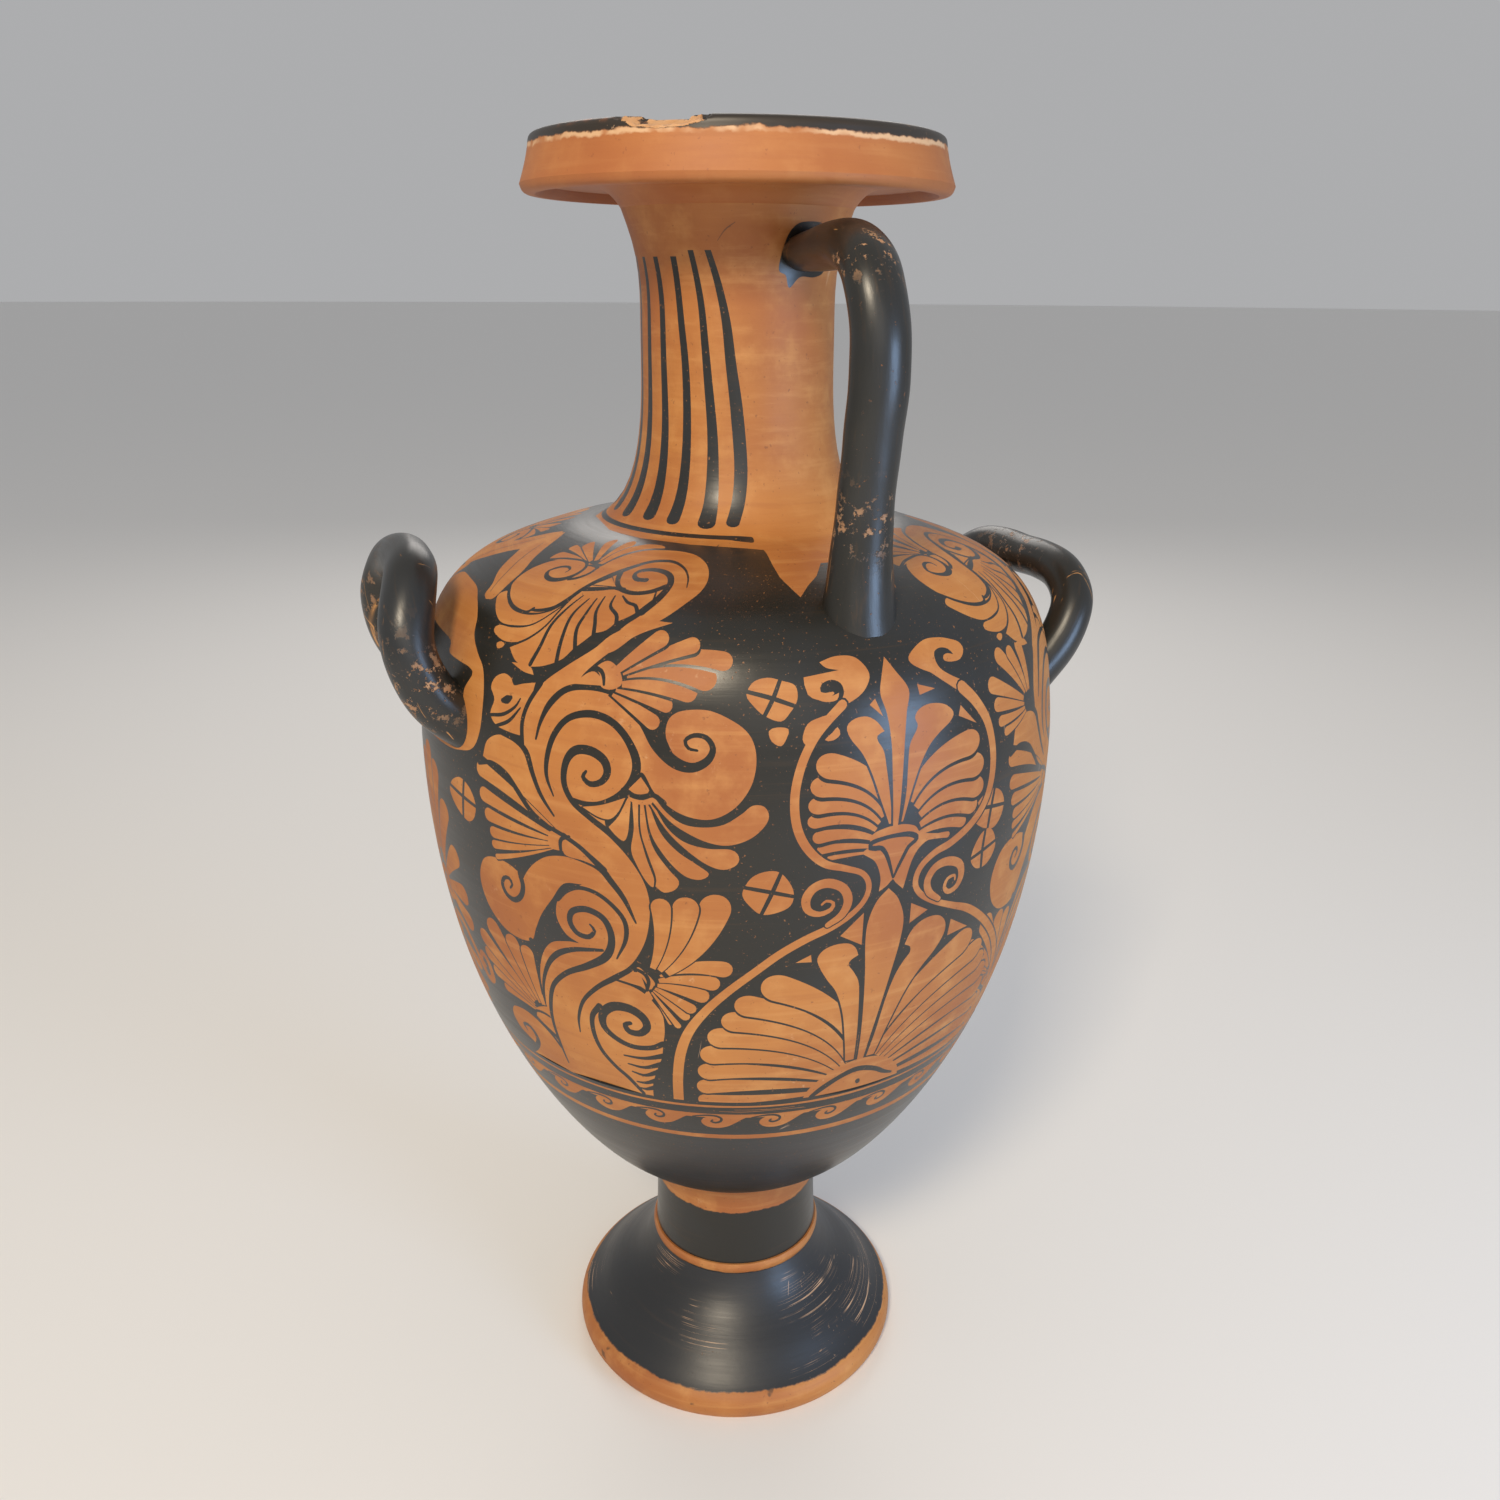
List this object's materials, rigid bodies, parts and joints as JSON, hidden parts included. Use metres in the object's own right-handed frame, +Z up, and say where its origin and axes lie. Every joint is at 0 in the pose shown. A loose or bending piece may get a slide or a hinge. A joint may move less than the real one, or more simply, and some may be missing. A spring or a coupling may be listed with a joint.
{
  "type": "red-figure hydria",
  "caption": "Tall three-handled ceramic water jar with spreading foot, short stem, ovoid body, slender neck and overhanging disc lip",
  "frame": {"origin": "centre of the plane that the foot stands on", "axes": "+Z up along the jar's axis; side handles about along X; back handle on the -Y side"},
  "size_m": [0.2835, 0.2514, 0.5155],
  "materials": {
    "black_gloss": "glossy black slip with a soft olive sheen, scratched to the clay in places",
    "fired_clay": "smoothed orange clay with fine wheel lines"
  },
  "bodies": {
    "root": {"foot": "black_gloss", "stem": "black_gloss", "belly": "black_gloss", "shoulder": "black_gloss", "neck": "fired_clay", "mouth": "fired_clay", "back_handle": "black_gloss", "side_handle_left": "black_gloss", "side_handle_right": "black_gloss"}
  },
  "joints": []
}
